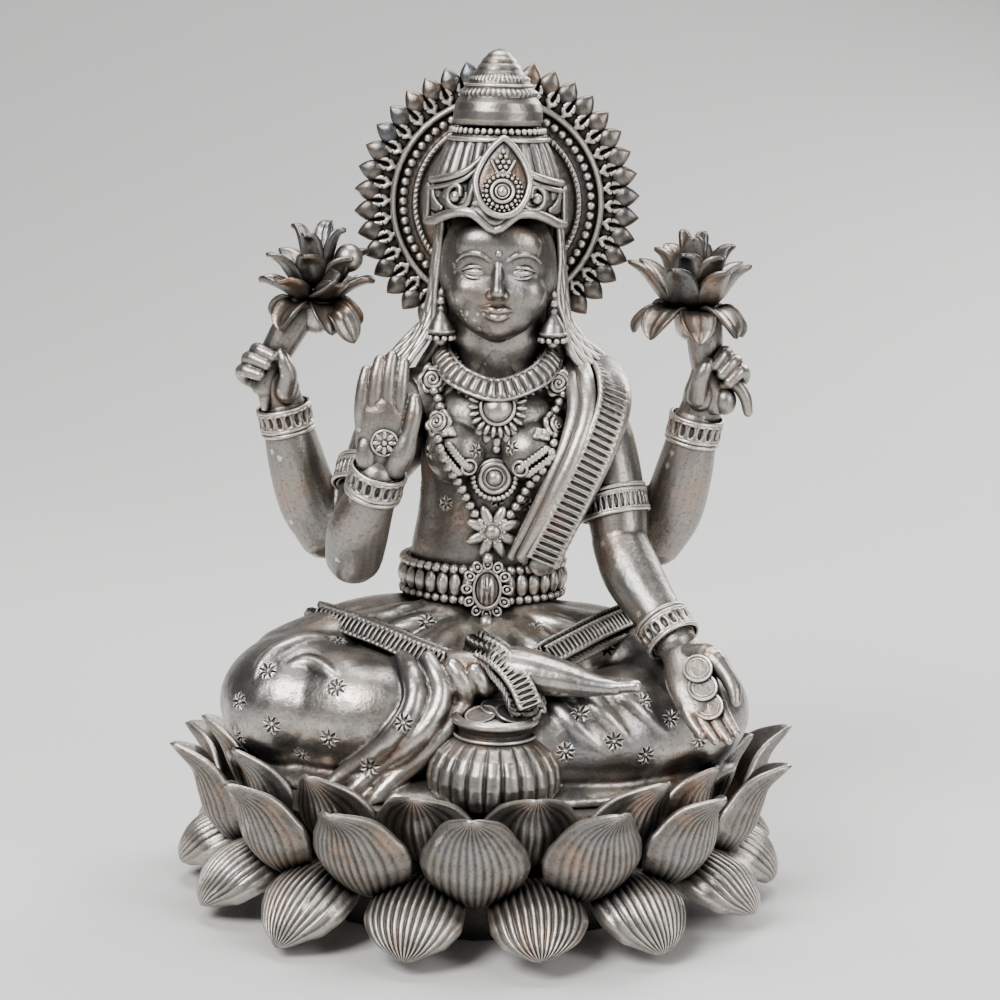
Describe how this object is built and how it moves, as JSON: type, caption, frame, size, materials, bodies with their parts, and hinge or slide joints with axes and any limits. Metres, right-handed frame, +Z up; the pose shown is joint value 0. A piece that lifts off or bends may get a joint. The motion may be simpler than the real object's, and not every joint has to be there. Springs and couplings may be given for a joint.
{
  "type": "hindu deity statue",
  "caption": "Antique silver metal figurine of a seated goddess with rear and front arms on a lotus pedestal, with a round halo, lotus flowers in the rear hands and a small pot of coins.",
  "frame": {"origin": "centre of the underside of the pedestal, on the table", "axes": "+Z up through the crown, the figure faces -Y, its own right side is towards -X"},
  "size_m": [0.1532, 0.1523, 0.2],
  "materials": {
    "antique_silver": "antique silver patina on cast white metal, dark in the hollows and rubbed bright on the edges",
    "felt": "short dense felt",
    "screw_steel": "plain zinc-plated"
  },
  "bodies": {
    "root": {"felt_pad": "felt", "base_drum": "antique_silver", "lower_petal_ring": "antique_silver", "outer_petal_ring": "antique_silver", "inner_petal_ring": "antique_silver", "seat_plate": "antique_silver", "base_washer": "screw_steel", "base_screw": "screw_steel", "pot": "antique_silver", "pot_coins": "antique_silver", "lower_body": "antique_silver", "right_foot": "antique_silver", "hem_band_right": "antique_silver", "hem_band_left": "antique_silver", "hem_band_ankle": "antique_silver", "torso": "antique_silver", "belt": "antique_silver", "buckle": "antique_silver", "collar": "antique_silver", "collar_pendant": "antique_silver", "chain_medallion": "antique_silver", "star_pendant": "antique_silver", "bead_strand": "antique_silver", "flower_chain": "antique_silver", "sash": "antique_silver", "head": "antique_silver", "hair_lock_right": "antique_silver", "hair_lock_left": "antique_silver", "hair_back": "antique_silver", "earring_right": "antique_silver", "earring_left": "antique_silver", "crown_band": "antique_silver", "crown_cap": "antique_silver", "crown_dome": "antique_silver", "crown_crest": "antique_silver", "halo_disc": "antique_silver", "halo_leaf_ring": "antique_silver", "halo_bead_ring": "antique_silver", "front_right_arm": "antique_silver", "front_right_bangle": "antique_silver", "front_left_arm": "antique_silver", "front_left_bangle": "antique_silver", "rear_right_arm": "antique_silver", "rear_right_bangle": "antique_silver", "rear_left_arm": "antique_silver", "rear_left_bangle": "antique_silver", "front_right_armlet": "antique_silver", "front_left_armlet": "antique_silver", "front_right_hand": "antique_silver", "palm_rosette": "antique_silver", "front_left_hand": "antique_silver", "rear_right_hand": "antique_silver", "lotus_stem_right": "antique_silver", "lotus_flower_right": "antique_silver", "rear_left_hand": "antique_silver", "lotus_stem_left": "antique_silver", "lotus_flower_left": "antique_silver", "palm_coin_1": "antique_silver", "palm_coin_2": "antique_silver", "palm_coin_3": "antique_silver"}
  },
  "joints": []
}
